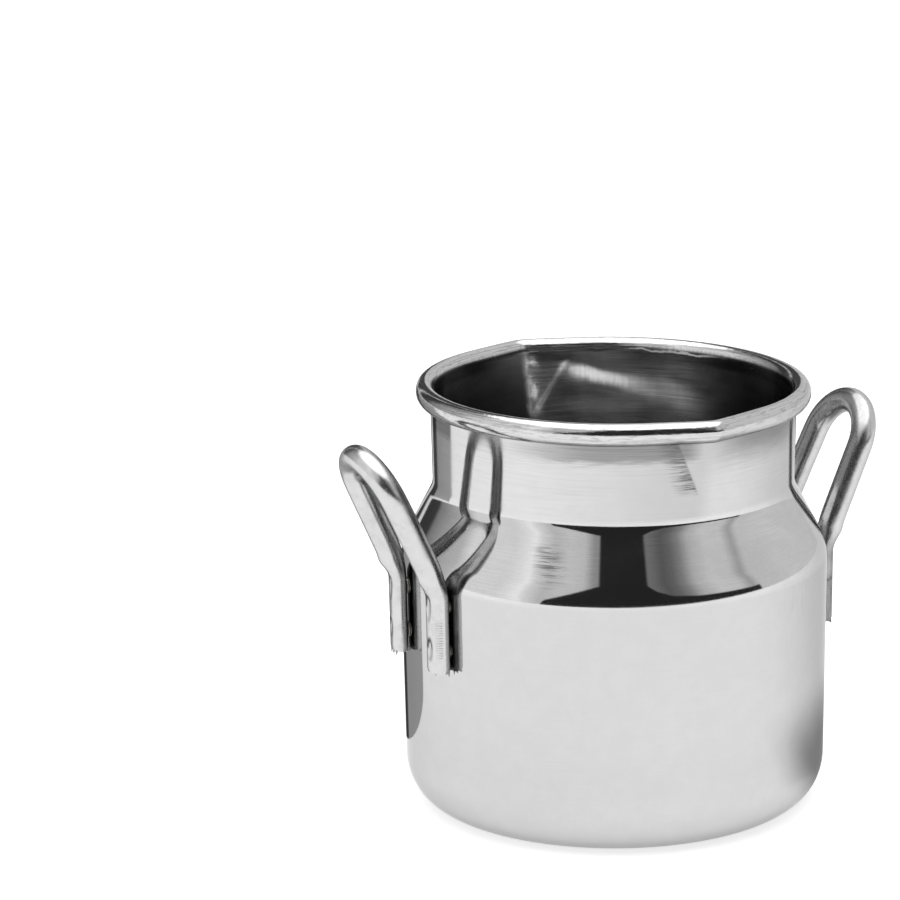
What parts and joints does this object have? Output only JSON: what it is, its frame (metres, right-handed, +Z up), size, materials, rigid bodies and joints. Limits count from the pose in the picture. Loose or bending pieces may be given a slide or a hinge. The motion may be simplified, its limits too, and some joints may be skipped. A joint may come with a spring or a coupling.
{
  "type": "milk can",
  "caption": "Small stainless steel milk can for serving milk, cream or sauce, open topped, with a rolled rim, pouring lips and bent rod handles spot welded to the wall.",
  "frame": {"origin": "centre of the base, on the plane the can stands on", "axes": "+Z up through the open mouth, X through the two handles, Y through the two pouring lips"},
  "size_m": [0.0826, 0.0608, 0.0611],
  "materials": {
    "polished_steel": "polished outside, fine horizontal brush lines on the neck",
    "rod_steel": "bright drawn rod, lightly polished",
    "weld_steel": "dull, as welded"
  },
  "bodies": {
    "root": {"can_shell": "polished_steel", "handle_left": "rod_steel", "handle_right": "rod_steel", "weld_left_front_upper": "weld_steel", "weld_left_front_lower": "weld_steel", "weld_left_back_upper": "weld_steel", "weld_left_back_lower": "weld_steel", "weld_right_front_upper": "weld_steel", "weld_right_front_lower": "weld_steel", "weld_right_back_upper": "weld_steel", "weld_right_back_lower": "weld_steel"}
  },
  "joints": []
}
